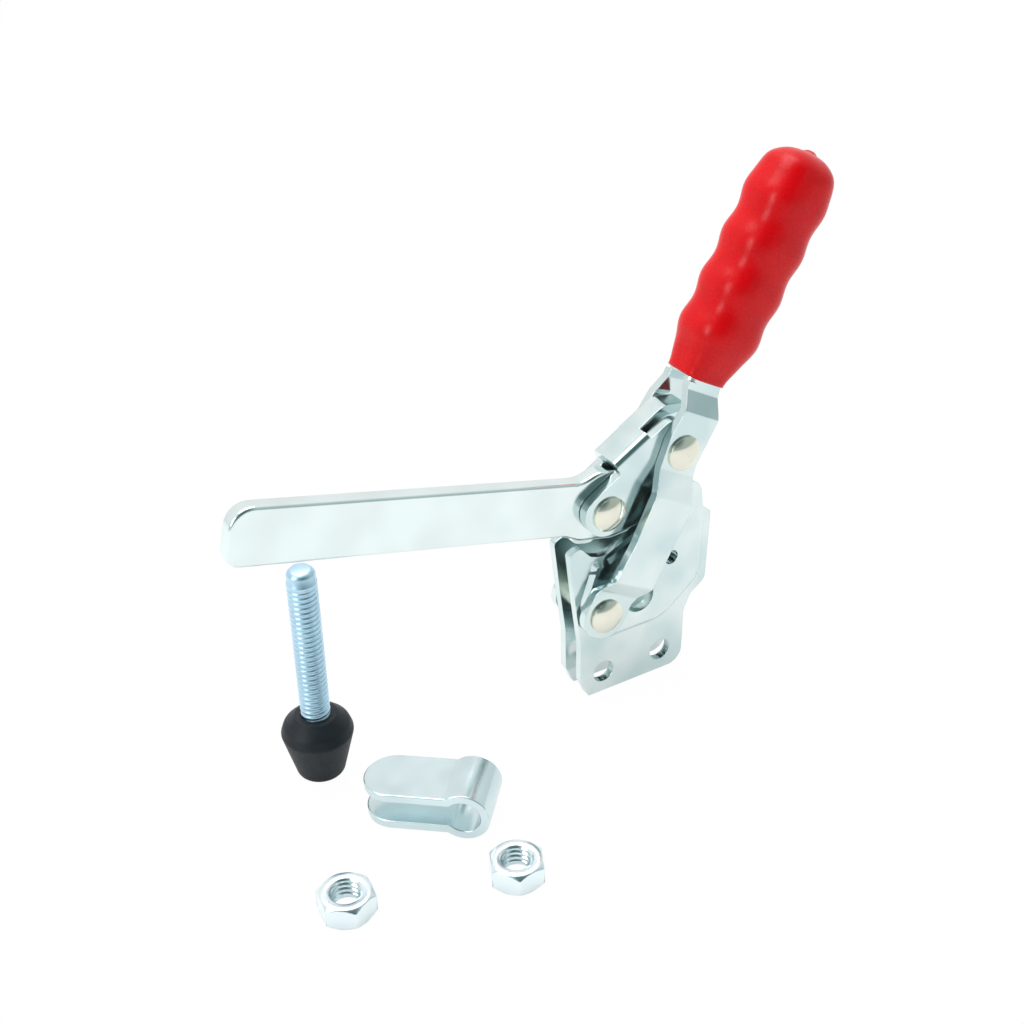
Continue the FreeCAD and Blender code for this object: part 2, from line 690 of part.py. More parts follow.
def retainer():
    """Folded strip: two legs and a round eye for the bolt, lying on its side."""
    made = body("bolt_retainer")
    made.Placement = CLIP_PLACE
    eye = size("clip_eye")
    thick = size("clip_thick")
    inner = size("clip_gap") / 2
    outer = inner + thick
    reach = -size("clip_length")
    arc_out = math.asin(outer / eye)
    arc_in = math.asin(inner / (eye - thick))
    shoulder_out = V(-eye * math.cos(arc_out), outer, 0)
    shoulder_in = V(-(eye - thick) * math.cos(arc_in), inner, 0)

    def down(point):
        return V(point.x, -point.y, 0)

    edges = [
        Part.LineSegment(V(reach, outer, 0), shoulder_out),
        Part.Arc(shoulder_out, V(eye, 0, 0), down(shoulder_out)),
        Part.LineSegment(down(shoulder_out), V(reach, -outer, 0)),
        Part.LineSegment(V(reach, -outer, 0), V(reach, -inner, 0)),
        Part.LineSegment(V(reach, -inner, 0), down(shoulder_in)),
        Part.Arc(down(shoulder_in), V(eye - thick, 0, 0), shoulder_in),
        Part.LineSegment(shoulder_in, V(reach, inner, 0)),
        Part.LineSegment(V(reach, inner, 0), V(reach, outer, 0)),
    ]
    half = size("clip_width") / 2
    strip = sketch(made, "retainer_section", "XZ_Plane", -half, edges)
    slab(made, "retainer_strip", strip, "Sizes.clip_width")
    far = half + 3
    ends = [
        Part.Arc(V(reach + half, half, 0), V(reach, 0, 0), V(reach + half, -half, 0)),
        Part.LineSegment(V(reach + half, -half, 0), V(reach + half, -far, 0)),
        Part.LineSegment(V(reach + half, -far, 0), V(reach - 3, -far, 0)),
        Part.LineSegment(V(reach - 3, -far, 0), V(reach - 3, far, 0)),
        Part.LineSegment(V(reach - 3, far, 0), V(reach + half, far, 0)),
        Part.LineSegment(V(reach + half, far, 0), V(reach + half, half, 0)),
    ]
    through(made, "retainer_round_ends", sketch(made, "retainer_end_outline", "XY_Plane", 0, ends))
    return made


# The loose set stands and lies on the plane of the base's underside.
BOLT_PLACE = V(-93.4, size("arm_thick") / 2 + size("thread_radius") + 0.3, 0)
CLIP_TURN = FreeCAD.Rotation(V(0, 0, 1), -42.0)
CLIP_SIDE = size("clip_gap") / 2 + size("clip_thick")
CLIP_SLOPE = math.degrees(math.asin(size("clip_eye") / math.hypot(size("clip_length"), CLIP_SIDE))
                          - math.atan2(CLIP_SIDE, size("clip_length")))
CLIP_PLACE = FreeCAD.Placement(V(-68.5, -31.0, size("clip_eye")),
                               CLIP_TURN.multiply(FreeCAD.Rotation(V(0, 1, 0), -CLIP_SLOPE)))

pieces = [
    base_plate("near_base_plate", -1),
    base_plate("far_base_plate", 1),
    sleeve("handle_pivot_sleeve", PIVOT, PLATE_IN, "Sizes.rivet_shank"),
    rivet("handle_pivot_rivet", PIVOT, PAD_OUT + 0.4 * size("slip_gap"), size("rivet_shank"),
          size("rivet_dome")),
    rivet("arm_pivot_rivet", EAR, RAISED, size("arm_shank"), size("rivet_low")),
    arm(),
    link(),
    rivet("arm_link_rivet", ELBOW, LINK_OUT, size("rivet_shank"), size("rivet_dome")),
    sleeve("link_spacer_sleeve", KNEE, LINK_IN - 0.4 * size("slip_gap"), "Sizes.rivet_shank"),
    rivet("handle_link_rivet", KNEE, KNEE_OUT, size("rivet_shank"), size("rivet_dome")),
    handle(),
    grip(),
    spindle(),
    foot(),
    retainer(),
    nut("left_nut", V(-109.8, -43.6, 0), -6.6),
    nut("right_nut", V(-69.2, -55.7, 0), 34.9),
]
doc.recompute()

for item in doc.Objects:
    if "Invalid" in item.State or "Error" in item.State:
        raise RuntimeError("%s failed: %s" % (item.Label, item.State))
for piece in pieces:
    if piece.Shape.isNull() or not piece.Shape.isValid() or len(piece.Shape.Solids) != 1:
        raise RuntimeError("%s has no single valid solid" % piece.Label)
for piece in pieces:
    piece.Shape.exportStep("parts/%s.step" % piece.Label)
    box = piece.Shape.BoundBox
    print("%-22s %9.1f mm3  x %.1f..%.1f  y %.1f..%.1f  z %.1f..%.1f" % (
        piece.Label, piece.Shape.Volume, box.XMin, box.XMax, box.YMin, box.YMax, box.ZMin, box.ZMax))
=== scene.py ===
"""Toggle clamp with a dipped grip and its loose bolt set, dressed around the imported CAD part."""

import json
import math

import bmesh
import bpy
from mathutils import Matrix, Vector


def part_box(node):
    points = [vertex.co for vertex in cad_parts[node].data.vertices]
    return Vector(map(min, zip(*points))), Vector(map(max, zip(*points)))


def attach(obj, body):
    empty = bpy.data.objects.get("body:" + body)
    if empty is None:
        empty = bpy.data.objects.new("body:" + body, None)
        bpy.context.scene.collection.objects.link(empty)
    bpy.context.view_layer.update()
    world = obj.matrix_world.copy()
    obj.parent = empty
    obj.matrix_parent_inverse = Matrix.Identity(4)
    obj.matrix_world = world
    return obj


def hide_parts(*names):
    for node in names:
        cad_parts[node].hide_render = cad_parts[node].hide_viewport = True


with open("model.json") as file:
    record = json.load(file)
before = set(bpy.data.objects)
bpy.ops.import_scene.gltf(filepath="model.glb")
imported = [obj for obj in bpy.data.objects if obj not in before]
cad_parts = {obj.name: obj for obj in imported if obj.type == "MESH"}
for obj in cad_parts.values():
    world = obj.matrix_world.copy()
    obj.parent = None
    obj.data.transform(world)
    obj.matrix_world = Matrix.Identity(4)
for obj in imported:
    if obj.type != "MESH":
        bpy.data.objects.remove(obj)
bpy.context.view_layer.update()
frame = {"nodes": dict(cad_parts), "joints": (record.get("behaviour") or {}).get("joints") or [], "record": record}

bl_info = {
    "name": "Toggle Clamp",
    "version": (1, 0, 0),
    "blender": (4, 5, 0),
    "location": "3D View > Sidebar > Clamp",
    "description": "Builds the looks of a toggle clamp and its loose bolt set around its CAD frame",
    "category": "Object",
}

MM = 0.001
BODIES = {node: body for body, nodes in frame["record"]["behaviour"]["bodies"].items() for node in nodes}
JOINTS = {joint["name"]: Vector(joint["pos_m"]) for joint in frame["joints"]}


def upright_frame(origin, toward):
    """A frame at a pivot whose Z points at another pivot and whose Y is the clamp's Y."""
    along = (toward - origin).normalized()
    side = Vector((0, 1, 0))
    return Matrix.Translation(origin) @ Matrix((side.cross(along), side, along)).transposed().to_4x4()


HANDLE = upright_frame(JOINTS["handle_pivot"], JOINTS["link_pivot"])


# Colours and materials

def linear(code):
    """An sRGB hex colour as linear red, green and blue."""
    channels = [int(code[i:i + 2], 16) / 255 for i in (0, 2, 4)]
    return tuple(c / 12.92 if c <= 0.04045 else ((c + 0.055) / 1.055) ** 2.4 for c in channels)


def add(tree, kind, inputs=None, **settings):
    """Adds a node with its settings; an input is a value or another node's output."""
    node = tree.nodes.new(kind)
    for name, value in settings.items():
        setattr(node, name, value)
    for name, value in (inputs or {}).items():
        socket = node.inputs[name]
        if isinstance(value, bpy.types.NodeSocket):
            tree.links.new(value, socket)
        else:
            socket.default_value = value
    return node


def blank_material(name):
    material = bpy.data.materials.new(name)
    material.use_nodes = True
    material.node_tree.nodes.clear()
    return material, material.node_tree


def millimetres(tree):
    """The surface point in the piece's own frame, in millimetres."""
    place = add(tree, "ShaderNodeTexCoord")
    scaled = add(tree, "ShaderNodeMapping", {"Vector": place.outputs["Object"], "Scale": (1000, 1000, 1000)})
    return scaled.outputs["Vector"]


def grain(tree, point, size_mm, detail=3.0):
    """Soft noise whose blobs are about size_mm across."""
    made = add(tree, "ShaderNodeTexNoise", {"Vector": point, "Scale": 1 / size_mm, "Detail": detail})
    return made.outputs["Fac"]


def spread(tree, value, low, high, dark=0.35, light=0.65):
    """Noise between dark and light stretched to low..high."""
    made = add(tree, "ShaderNodeMapRange", {"Value": value, "From Min": dark, "From Max": light,
                                            "To Min": low, "To Max": high})
    return made.outputs["Result"]


def tones(tree, value, first, second):
    made = add(tree, "ShaderNodeMix", data_type="RGBA")
    tree.links.new(value, made.inputs[0])
    made.inputs[6].default_value = (*first, 1)
    made.inputs[7].default_value = (*second, 1)
    return made.outputs[2]


def bumps(tree, layers, edge_mm):
    """Height layers (value, depth in mm) stacked on a rounded-edge normal."""
    normal = None
    if edge_mm:
        normal = add(tree, "ShaderNodeBevel", {"Radius": edge_mm * MM}, samples=6).outputs["Normal"]
    for height, depth in layers:
        inputs = {"Height": height, "Distance": depth * MM, "Strength": 1.0}
        if normal is not None:
            inputs["Normal"] = normal
        normal = add(tree, "ShaderNodeBump", inputs).outputs["Normal"]
    return normal


def surface(tree, **inputs):
    names = {key.replace("_", " "): value for key, value in inputs.items()}
    shader = add(tree, "ShaderNodeBsdfPrincipled", names)
    add(tree, "ShaderNodeOutputMaterial", {"Surface": shader.outputs["BSDF"]})


def zinc_plated(name, pale, film, rough=(0.15, 0.2), edge_mm=0.25, sway=0.025):
    """Zinc-plated steel: a bright mirror with a milky haze, its film drifting from white to blue-green."""
    material, tree = blank_material(name)
    point = millimetres(tree)
    drift = grain(tree, point, 14.0, 1.0)
    haze = grain(tree, point, 5.0, 3.0)
    # 0.6 mm plating grain, drawn coarser than the real one so that it shows
    crystal = grain(tree, point, 0.6, 2.0)
    # slow waves of the rolled sheet, which bend its reflections
    wave = grain(tree, point, 9.0, 0.0)
    # a few short handling scuffs
    drawn_out = add(tree, "ShaderNodeMapping", {"Vector": point, "Rotation": (0.0, 0.5, 0.0),
                                                "Scale": (0.1, 1.4, 1.4)})
    scuff = spread(tree, grain(tree, drawn_out.outputs["Vector"], 1.0, 4.0), 0.0, 1.0, 0.62, 0.75)
    rougher = add(tree, "ShaderNodeMath", {0: scuff, 1: 0.04, 2: spread(tree, haze, *rough)},
                  operation="MULTIPLY_ADD")
    surface(tree, Base_Color=tones(tree, spread(tree, drift, 0.0, 1.0), pale, film), Metallic=1.0,
            Roughness=rougher.outputs["Value"],
            Normal=bumps(tree, [(wave, sway), (crystal, 0.0015)], edge_mm))
    return material


def nickel_plated(name, pale, deep):
    """Nickel-plated rivet steel: warm and smoother than the zinc."""
    material, tree = blank_material(name)
    point = millimetres(tree)
    stain = grain(tree, point, 6.0, 1.0)
    crystal = grain(tree, point, 0.4, 2.0)
    surface(tree, Base_Color=tones(tree, spread(tree, stain, 0.0, 1.0), pale, deep), Metallic=1.0,
            Roughness=spread(tree, crystal, 0.13, 0.16),
            Normal=bumps(tree, [(crystal, 0.0008)], 0.2))
    return material


def dipped_vinyl(name, bright, deep):
    """Dipped vinyl: saturated red with a soft gloss, faint orange peel and slow thickness waves."""
    material, tree = blank_material(name)
    point = millimetres(tree)
    peel = grain(tree, point, 0.9, 2.0)
    slow = grain(tree, point, 6.5, 2.0)
    surface(tree, Base_Color=tones(tree, spread(tree, slow, 0.0, 1.0), bright, deep), Metallic=0.0,
            Roughness=spread(tree, peel, 0.24, 0.32), IOR=1.5, Specular_IOR_Level=0.2, Coat_Weight=0.0,
            Normal=bumps(tree, [(peel, 0.006), (slow, 0.05)], 0.0))
    return material


def moulded_rubber(name, dark, light):
    """Moulded neoprene rubber: blue-black, dull, with a fine matt grain and a faint dusting."""
    material, tree = blank_material(name)
    point = millimetres(tree)
    grit = grain(tree, point, 0.35, 3.0)
    bloom = grain(tree, point, 4.0, 4.0)
    surface(tree, Base_Color=tones(tree, spread(tree, bloom, 0.0, 1.0), dark, light), Metallic=0.0,
            Roughness=spread(tree, grit, 0.46, 0.62), IOR=1.5, Specular_IOR_Level=0.3,
            Normal=bumps(tree, [(grit, 0.02)], 0.3))
    return material


# Meshes

def shade(obj):
    for face in obj.data.polygons:
        face.use_smooth = True


def new_piece(name, mesh):
    """An object from a bmesh, smooth shaded and linked to the scene."""
    bmesh.ops.recalc_face_normals(mesh, faces=mesh.faces)
    data = bpy.data.meshes.new(name)
    mesh.to_mesh(data)
    mesh.free()
    obj = bpy.data.objects.new(name, data)
    bpy.context.scene.collection.objects.link(obj)
    shade(obj)
    return obj


def settle(obj):
    """Applies the modifiers of a piece to its mesh."""
    bpy.context.view_layer.update()
    done = bpy.data.meshes.new_from_object(obj.evaluated_get(bpy.context.evaluated_depsgraph_get()))
    obj.modifiers.clear()
    obj.data = done
    return obj


def dress(obj, node, material):
    """Hands a piece the body and the material of the CAD node that it stands for."""
    obj.data.materials.clear()
    obj.data.materials.append(material)
    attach(obj, BODIES[node])
    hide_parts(node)
    return obj


def recoat(node, material):
    """Gives a CAD node that is shown as it is its material."""
    obj = frame["nodes"][node]
    obj.data.materials.clear()
    obj.data.materials.append(material)
    return obj


def softened(node, name, width_mm, segments=3, angle=28.0):
    """The CAD node's own shape with its tessellation cleaned and its sheared edges rolled over."""
    mesh = bmesh.new()
    mesh.from_mesh(frame["nodes"][node].data)
    bmesh.ops.remove_doubles(mesh, verts=mesh.verts, dist=0.002 * MM)
    bmesh.ops.dissolve_limit(mesh, angle_limit=math.radians(0.4), verts=mesh.verts, edges=mesh.edges)
    obj = new_piece(name, mesh)
    roll = obj.modifiers.new("rolled_edges", "BEVEL")
    roll.width = width_mm * MM
    roll.segments = segments
    roll.limit_method = "ANGLE"
    roll.angle_limit = math.radians(angle)
    roll.use_clamp_overlap = True
    weigh = obj.modifiers.new("even_shading", "WEIGHTED_NORMAL")
    weigh.keep_sharp = False
    return settle(obj)


def skin(mesh, rings, closed_ends=True):
    """Faces between rings of vertices, with a fan over each end."""
    count = len(rings[0])
    for low, high in zip(rings, rings[1:]):
        for i in range(count):
            j = (i + 1) % count
            mesh.faces.new((low[i], low[j], high[j], high[i]))
    if closed_ends:
        for ring in (rings[0], rings[-1]):
            middle = mesh.verts.new(sum((v.co for v in ring), Vector()) / count)
            for i in range(count):
                mesh.faces.new((ring[i], ring[(i + 1) % count], middle))


def thread_form(turns):
    """Height of a rolled thread, 0 at its root and 1 at its crest, for a place along the helix in turns."""
    slope = abs((turns % 1.0) * 2 - 1)
    return min(max((slope - 0.1) / 0.75, 0.0), 1.0)


MILLI = Matrix.Scale(MM, 4)
ROUND = 96


def turned(mesh, place, level, radius_at):
    """One ring of vertices at a level; radius_at gives the radius in mm for a turn in radians."""
    ring = []
    for i in range(ROUND):
        turn = math.tau * i / ROUND
        radius = radius_at(turn)
        ring.append(mesh.verts.new(place @ Vector((radius * math.cos(turn), radius * math.sin(turn), level))))
    return ring


# What a user would change

class ClampSizes(bpy.types.PropertyGroup):
    grip_wave: bpy.props.FloatProperty(name="Grip wave", description="Height of the grip's finger waves",
                                       default=0.6 * MM, unit="LENGTH")
    thread_pitch: bpy.props.FloatProperty(name="Thread pitch", description="Rise of the thread in one turn",
                                          default=1.5 * MM, unit="LENGTH")
    edge_roll: bpy.props.FloatProperty(name="Edge roll", description="Rounding of the sheared sheet edges",
                                       default=0.4 * MM, unit="LENGTH")


class ClampColours(bpy.types.PropertyGroup):
    zinc: bpy.props.FloatVectorProperty(name="Zinc", description="Pale tone of the zinc plating", size=3,
                                        default=linear("DFEAE9"), subtype="COLOR", min=0, max=1)
    film: bpy.props.FloatVectorProperty(name="Film", description="Blue-green tone of the plating", size=3,
                                        default=linear("CADBDC"), subtype="COLOR", min=0, max=1)
    bolt: bpy.props.FloatVectorProperty(name="Bolt", description="Blue zinc of the bolt", size=3,
                                        default=linear("BBDAEC"), subtype="COLOR", min=0, max=1)
    clip: bpy.props.FloatVectorProperty(name="Retainer", description="Blue zinc of the retainer", size=3,
                                        default=linear("D8E8EB"), subtype="COLOR", min=0, max=1)
    nut: bpy.props.FloatVectorProperty(name="Nuts", description="Pale blue zinc of the nuts", size=3,
                                       default=linear("E9F4F8"), subtype="COLOR", min=0, max=1)
    nickel: bpy.props.FloatVectorProperty(name="Nickel", description="Warm tone of the rivets", size=3,
                                          default=linear("E6E5D6"), subtype="COLOR", min=0, max=1)
    vinyl: bpy.props.FloatVectorProperty(name="Vinyl", description="Red of the grip", size=3,
                                         default=linear("C8030C"), subtype="COLOR", min=0, max=1)
    rubber: bpy.props.FloatVectorProperty(name="Rubber", description="Blue-black of the foot", size=3,
                                          default=linear("0D141A"), subtype="COLOR", min=0, max=1)


def darker(colour, factor):
    return tuple(channel * factor for channel in colour)


def finish_for(scene, key):
    """The object's finishes, each made once and shared."""
    names = {
        "sheet": "zinc_plated_sheet_steel",
        "bar": "zinc_plated_bar_steel",
        "bolt": "blue_zinc_plated_steel",
        "nut": "pale_zinc_plated_steel",
        "clip": "blue_zinc_plated_strip",
        "rivet": "nickel_plated_rivet_steel",
        "grip": "dipped_vinyl",
        "foot": "moulded_neoprene_rubber",
    }
    if names[key] in bpy.data.materials:
        return bpy.data.materials[names[key]]
    tint = scene.clamp_colours
    makers = {
        "sheet": lambda name: zinc_plated(name, tuple(tint.zinc), tuple(tint.film)),
        "bar": lambda name: zinc_plated(name, darker(tint.zinc, 1.06), darker(tint.zinc, 0.98), (0.14, 0.18),
                                        0.2, 0.012),
        "bolt": lambda name: zinc_plated(name, tuple(tint.bolt), darker(tint.bolt, 0.92), (0.3, 0.38), 0.1),
        "clip": lambda name: zinc_plated(name, tuple(tint.clip), darker(tint.clip, 0.9), (0.17, 0.22)),
        "nut": lambda name: zinc_plated(name, tuple(tint.nut), darker(tint.nut, 0.94), (0.2, 0.26), 0.1),
        "rivet": lambda name: nickel_plated(name, tuple(tint.nickel), darker(tint.nickel, 0.93)),
        "grip": lambda name: dipped_vinyl(name, tuple(tint.vinyl), darker(tint.vinyl, 0.92)),
        "foot": lambda name: moulded_rubber(name, tuple(tint.rubber), darker(tint.rubber, 1.7)),
    }
    return makers[key](names[key])


class CLAMP_OT_base(bpy.types.Operator):
    """Base plates with rolled edges and the hidden sleeves of the pivots"""
    bl_idname = "clamp.base"
    bl_label = "Base plates"

    def execute(self, context):
        roll = context.scene.clamp_sizes.edge_roll / MM
        coat = finish_for(context.scene, "sheet")
        for side in ("near", "far"):
            node = side + "_base_plate"
            dress(softened(node, side + "_base_plate_pressed", roll), node, coat)
        for node in ("handle_pivot_sleeve", "link_spacer_sleeve"):
            recoat(node, finish_for(context.scene, "rivet"))
        return {"FINISHED"}


class CLAMP_OT_arm(bpy.types.Operator):
    """Solid arm"""
    bl_idname = "clamp.arm"
    bl_label = "Arm"

    def execute(self, context):
        recoat("clamping_arm", finish_for(context.scene, "bar"))
        return {"FINISHED"}


class CLAMP_OT_link(bpy.types.Operator):
    """Folded link with its curled tongue"""
    bl_idname = "clamp.link"
    bl_label = "Link"

    def execute(self, context):
        roll = context.scene.clamp_sizes.edge_roll / MM
        dress(softened("link_bracket", "link_bracket_folded", 0.8 * roll), "link_bracket",
              finish_for(context.scene, "sheet"))
        return {"FINISHED"}


class CLAMP_OT_handle(bpy.types.Operator):
    """Folded handle strip"""
    bl_idname = "clamp.handle"
    bl_label = "Handle lever"

    def execute(self, context):
        roll = context.scene.clamp_sizes.edge_roll / MM
        dress(softened("handle_lever", "handle_lever_folded", roll), "handle_lever",
              finish_for(context.scene, "sheet"))
        return {"FINISHED"}


GRIP_START = 70.0
GRIP_LENGTH = 64.5
GRIP_CROWN = 8.6
GRIP_HALF = (10.35, 9.75)
MOUTH_HALF = (6.9, 6.7)
WAVE_LENGTH = 12.8
WAVE_CREST = 13.0
# the drip left where the dipped grip hung
NUB = (5.6, 3.0)
NUB_HALF = 1.9


def grip_ring(mesh, place, height, drop, wave):
    """One ring of the grip, height mm above its mouth and drawn in by drop; waves are fullest in front."""
    flare = math.exp(-(height / 7.5) ** 2)
    half = [full - (full - narrow) * flare - drop for full, narrow in zip(GRIP_HALF, MOUTH_HALF)]
    power = 2 / (2.7 + 1.3 * flare)
    shift = 0.2 - 0.6 * flare + 0.024 * height
    crest = math.cos(math.tau * (height - WAVE_CREST) / WAVE_LENGTH) * (1 - flare) * max(1 - drop / 3, 0.0)
    ring = []
    for i in range(ROUND):
        turn = math.tau * i / ROUND
        across, deep = math.cos(turn), math.sin(turn)
        swell = wave * crest * (0.35 + 0.5 * max(-across, 0.0) + 0.3 * max(across, 0.0))
        x = (half[0] + swell) * math.copysign(abs(across) ** power, across) + shift
        y = (half[1] + swell) * math.copysign(abs(deep) ** power, deep)
        near = math.exp(-((x - NUB[0]) ** 2 + (y - NUB[1]) ** 2) / NUB_HALF ** 2) if drop > 1 else 0.0
        stub = 1.1 * math.sin(0.5 * math.pi * min(1.5 * near, 1.0))
        ring.append(mesh.verts.new(place @ Vector((x, y, GRIP_START + height + stub))))
    return ring


class CLAMP_OT_grip(bpy.types.Operator):
    """Dipped grip with finger waves"""
    bl_idname = "clamp.grip"
    bl_label = "Grip"

    def execute(self, context):
        place = HANDLE @ MILLI
        wave = context.scene.clamp_sizes.grip_wave / MM
        mesh = bmesh.new()
        straight = [0.8 * i for i in range(int((GRIP_LENGTH - GRIP_CROWN) / 0.8) + 1)]
        dome = [math.radians(4.5 * i) for i in range(1, 20)]
        levels = [(height, 0.0) for height in straight]
        levels += [(GRIP_LENGTH - GRIP_CROWN + GRIP_CROWN * math.sin(turn), GRIP_CROWN * (1 - math.cos(turn)))
                   for turn in dome]
        mouth = [grip_ring(mesh, place, 1.6, 2.6, wave), grip_ring(mesh, place, 0.0, 1.0, wave)]
        rings = mouth + [grip_ring(mesh, place, height, drop, wave) for height, drop in levels]
        skin(mesh, rings)
        dress(new_piece("handle_grip_dipped", mesh), "handle_grip", finish_for(context.scene, "grip"))
        return {"FINISHED"}


class CLAMP_OT_rivets(bpy.types.Operator):
    """Domed rivets of the four pivots"""
    bl_idname = "clamp.rivets"
    bl_label = "Rivets"

    def execute(self, context):
        for node in ("handle_pivot_rivet", "arm_link_rivet", "handle_link_rivet"):
            recoat(node, finish_for(context.scene, "rivet"))
        recoat("arm_pivot_rivet", finish_for(context.scene, "sheet"))
        return {"FINISHED"}


PLAIN_TIP = 3.6
THREAD_DEPTH = 0.3


class CLAMP_OT_spindle(bpy.types.Operator):
    """Threaded bolt and its rubber foot"""
    bl_idname = "clamp.spindle"
    bl_label = "Bolt and foot"

    def execute(self, context):
        low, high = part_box("spindle_bolt")
        middle = (low + high) / 2
        pitch = context.scene.clamp_sizes.thread_pitch / MM
        outer = (high.x - low.x) / 2 / MM
        bottom = low.z / MM
        top = high.z / MM
        mesh = bmesh.new()
        place = Matrix.Translation((middle.x, middle.y, 0)) @ MILLI
        plain = top - PLAIN_TIP
        rings = []
        level = bottom
        while level < plain:
            fade = min((plain - level) / pitch, 1.0)

            def thread(turn, level=level, fade=fade):
                return outer - THREAD_DEPTH * fade * (1 - thread_form(level / pitch - turn / math.tau))
            rings.append(turned(mesh, place, level, thread))
            level += pitch / 10
        for inset, below in ((0.25, PLAIN_TIP - 0.1), (0.25, 1.3), (0.45, 0.9), (1.25, 0.08), (1.55, 0.0)):
            rings.append(turned(mesh, place, top - below, lambda turn, inset=inset: outer - inset))
        skin(mesh, rings)
        dress(new_piece("spindle_bolt_threaded", mesh), "spindle_bolt", finish_for(context.scene, "bolt"))
        recoat("spindle_foot", finish_for(context.scene, "foot"))
        return {"FINISHED"}


class CLAMP_OT_retainer(bpy.types.Operator):
    """Folded bolt retainer"""
    bl_idname = "clamp.retainer"
    bl_label = "Bolt retainer"

    def execute(self, context):
        dress(softened("bolt_retainer", "bolt_retainer_folded", 0.3), "bolt_retainer",
              finish_for(context.scene, "clip"))
        return {"FINISHED"}


NUT_FLATS = 13.0
NUT_TURNS = {"left_nut": -6.6, "right_nut": 34.9}
BORE_ROOT = 4.0
BORE_CREST = 3.45
BORE_MOUTH = 4.35


def threaded_nut(name, place, height, pitch):
    """Hexagon nut with chamfered corners and a threaded bore, standing on the Z = 0 of its frame."""
    rim = NUT_FLATS / 2 - 0.3

    def hexagon(turn, cone):
        """Distance to the flats, cut by the chamfer's cone where that is nearer."""
        lean = (turn + math.pi / 6) % (math.pi / 3) - math.pi / 6
        return min(NUT_FLATS / 2 / math.cos(lean), cone)

    mesh = bmesh.new()
    rings = []
    low = (0.0, 0.25, 0.55, 0.85, 1.1)
    for level in (*low, *(height - step for step in reversed(low))):
        cone = rim + 1.2 * min(level, height - level)
        rings.append(turned(mesh, place, level, lambda turn, cone=cone: hexagon(turn, cone)))
    steps = int(height / pitch * 10)
    for k in range(steps + 1):
        level = height * (1 - k / steps)
        mouth = BORE_MOUTH - min(level, height - level)

        def bore(turn, level=level, mouth=mouth):
            crest = BORE_ROOT - (BORE_ROOT - BORE_CREST) * thread_form(level / pitch - turn / math.tau)
            return max(crest, mouth)
        rings.append(turned(mesh, place, level, bore))
    skin(mesh, rings + [rings[0]], closed_ends=False)
    return new_piece(name, mesh)


class CLAMP_OT_nuts(bpy.types.Operator):
    """Loose hexagon nuts with threaded bores"""
    bl_idname = "clamp.nuts"
    bl_label = "Nuts"

    def execute(self, context):
        pitch = context.scene.clamp_sizes.thread_pitch / MM
        for node, turn in NUT_TURNS.items():
            low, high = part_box(node)
            middle = (low + high) / 2
            place = Matrix.Translation((middle.x, middle.y, low.z))
            place = place @ Matrix.Rotation(math.radians(turn), 4, "Z")
            dress(threaded_nut(node + "_threaded", place @ MILLI, (high.z - low.z) / MM, pitch), node,
                  finish_for(context.scene, "nut"))
        return {"FINISHED"}


# The stage

CAMERA_PLACE = Vector((-206.49, -292.575, 273.33)) * MM
CAMERA_RIGHT = Vector((0.85823, -0.51295, -0.01816))
CAMERA_DOWN = Vector((-0.28105, -0.44004, -0.85286))
CAMERA_AHEAD = Vector((0.42948, 0.73706, -0.52182))
SWEEP_SIDE = (0.2, 0.9, 0.38)
CARD_SIDE = (-0.15, -0.75, 0.64)


def stage_white(name):
    """Studio white: seen and mirrored as white, it still takes the object's soft shadow."""
    material, tree = blank_material(name)
    path = add(tree, "ShaderNodeLightPath")
    mirrored = add(tree, "ShaderNodeMath", {0: path.outputs["Is Glossy Ray"],
                                            1: path.outputs["Is Transmission Ray"]}, operation="MAXIMUM")
    share = add(tree, "ShaderNodeMath", {0: mirrored.outputs["Value"], 1: 0.6}, operation="MULTIPLY")
    share = add(tree, "ShaderNodeMath", {0: path.outputs["Is Camera Ray"], 1: 0.98,
                                         2: share.outputs["Value"]}, operation="MULTIPLY_ADD")
    paint = add(tree, "ShaderNodeBsdfDiffuse", {"Color": (0.9, 0.9, 0.9, 1)})
    glow = add(tree, "ShaderNodeEmission", {"Color": (1, 1, 1, 1), "Strength": 1.0})
    both = add(tree, "ShaderNodeMixShader", {0: share.outputs["Value"], 1: paint.outputs["BSDF"],
                                             2: glow.outputs["Emission"]})
    add(tree, "ShaderNodeOutputMaterial", {"Surface": both.outputs["Shader"]})
    return material


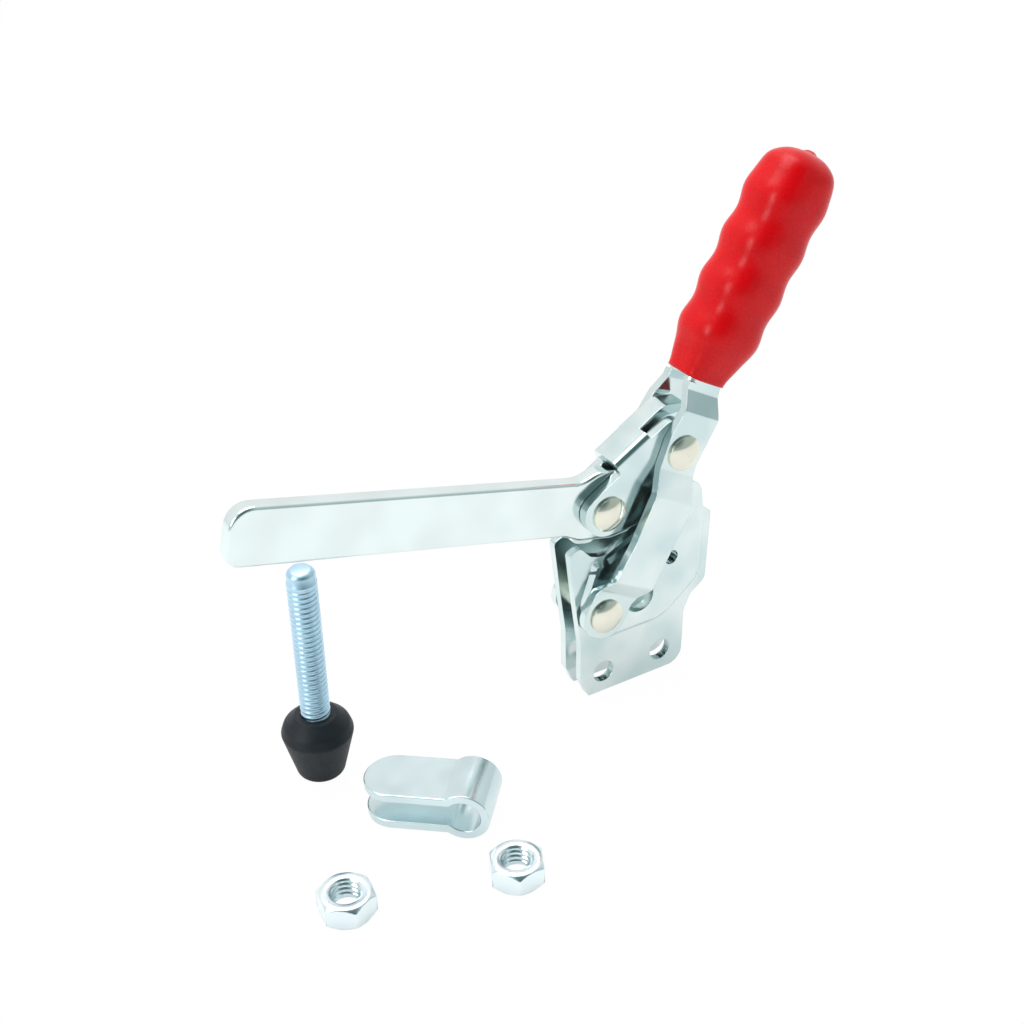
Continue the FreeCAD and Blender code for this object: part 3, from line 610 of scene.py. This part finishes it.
def studio_world():
    """White to the camera; for light and mirrors a pale room, a white sweep and a dark card in front."""
    world = bpy.data.worlds.new("studio_room")
    bpy.context.scene.world = world
    world.use_nodes = True
    tree = world.node_tree
    tree.nodes.clear()
    direction = add(tree, "ShaderNodeTexCoord").outputs["Generated"]
    behind = add(tree, "ShaderNodeVectorMath", {0: direction, 1: SWEEP_SIDE}, operation="DOT_PRODUCT")
    toward_sweep = spread(tree, behind.outputs["Value"], 0.0, 1.0, -1.0, 1.0)
    ramp = add(tree, "ShaderNodeValToRGB", {"Fac": toward_sweep})
    stops = ((0.0, "AFC0C0"), (0.45, "C2D0D0"), (0.66, "E4EEED"), (0.82, "FFFFFF"))
    while len(ramp.color_ramp.elements) < len(stops):
        ramp.color_ramp.elements.new(0.5)
    for element, (place, code) in zip(ramp.color_ramp.elements, stops):
        element.position = place
        element.color = (*linear(code), 1)
    facing = add(tree, "ShaderNodeVectorMath", {0: direction, 1: CARD_SIDE}, operation="DOT_PRODUCT")
    card = spread(tree, facing.outputs["Value"], 0.0, 1.0, 0.76, 0.92)
    colour = add(tree, "ShaderNodeMix", {0: card, 6: ramp.outputs["Color"]}, data_type="RGBA").outputs[2]
    colour.node.inputs[7].default_value = (*linear("587273"), 1)
    room = add(tree, "ShaderNodeBackground", {"Color": colour, "Strength": 0.95})
    white = add(tree, "ShaderNodeBackground", {"Color": (1, 1, 1, 1), "Strength": 1.0})
    path = add(tree, "ShaderNodeLightPath")
    both = add(tree, "ShaderNodeMixShader", {0: path.outputs["Is Camera Ray"], 1: room.outputs["Background"],
                                             2: white.outputs["Background"]})
    add(tree, "ShaderNodeOutputWorld", {"Surface": both.outputs["Shader"]})


def lamp(name, place, target, size, power, mirrored=True):
    data = bpy.data.lights.new(name, "AREA")
    data.shape = "RECTANGLE"
    data.size, data.size_y = size
    data.energy = power
    obj = bpy.data.objects.new(name, data)
    obj.location = place
    obj.rotation_euler = (Vector(target) - Vector(place)).to_track_quat("-Z", "Y").to_euler()
    obj.visible_glossy = mirrored
    bpy.context.scene.collection.objects.link(obj)


class CLAMP_OT_stage(bpy.types.Operator):
    """Pale floor, soft studio light and the camera"""
    bl_idname = "clamp.stage"
    bl_label = "Stage"

    def execute(self, context):
        scene = context.scene
        scene.view_settings.view_transform = "Standard"
        mesh = bmesh.new()
        reach = 1.6
        corners = [mesh.verts.new((x * reach, y * reach, 0)) for x, y in ((-1, -1), (1, -1), (1, 1), (-1, 1))]
        mesh.faces.new(corners)
        floor = new_piece("studio_floor", mesh)
        floor.data.materials.append(stage_white("studio_white"))
        studio_world()
        target = (-0.03, 0.0, 0.06)
        lamp("top_softbox", (-0.05, 0.25, 0.8), target, (0.8, 0.5), 5.0)
        lamp("left_softbox", (-0.8, -0.1, 0.45), target, (0.3, 0.5), 2.6)
        lamp("front_softbox", (0.35, -0.75, 0.5), target, (0.4, 0.3), 1.6, mirrored=False)
        eye = bpy.data.objects.new("photo_camera", bpy.data.cameras.new("photo_camera"))
        scene.collection.objects.link(eye)
        turn = Matrix((CAMERA_RIGHT, -CAMERA_DOWN, -CAMERA_AHEAD)).transposed().to_4x4()
        eye.matrix_world = Matrix.Translation(CAMERA_PLACE) @ turn
        eye.data.sensor_width = 36.0
        eye.data.lens = 53.43
        eye.data.clip_start = 0.01
        scene.camera = eye
        return {"FINISHED"}


class CLAMP_PT_panel(bpy.types.Panel):
    bl_idname = "CLAMP_PT_panel"
    bl_label = "Toggle clamp"
    bl_space_type = "VIEW_3D"
    bl_region_type = "UI"
    bl_category = "Clamp"

    def draw(self, context):
        for group in (context.scene.clamp_sizes, context.scene.clamp_colours):
            for key in group.__annotations__:
                self.layout.prop(group, key)
        for step in STEPS:
            self.layout.operator(step.bl_idname)


STEPS = (CLAMP_OT_base, CLAMP_OT_arm, CLAMP_OT_link, CLAMP_OT_handle, CLAMP_OT_grip, CLAMP_OT_rivets,
         CLAMP_OT_spindle, CLAMP_OT_retainer, CLAMP_OT_nuts, CLAMP_OT_stage)
CLASSES = (ClampSizes, ClampColours, *STEPS, CLAMP_PT_panel)


def register():
    for item in CLASSES:
        bpy.utils.register_class(item)
    bpy.types.Scene.clamp_sizes = bpy.props.PointerProperty(type=ClampSizes)
    bpy.types.Scene.clamp_colours = bpy.props.PointerProperty(type=ClampColours)


def unregister():
    del bpy.types.Scene.clamp_sizes
    del bpy.types.Scene.clamp_colours
    for item in reversed(CLASSES):
        bpy.utils.unregister_class(item)


def main():
    register()
    for step in STEPS:
        area, name = step.bl_idname.split(".")
        getattr(getattr(bpy.ops, area), name)()
    bpy.context.view_layer.update()


if __name__ == "__main__":
    main()
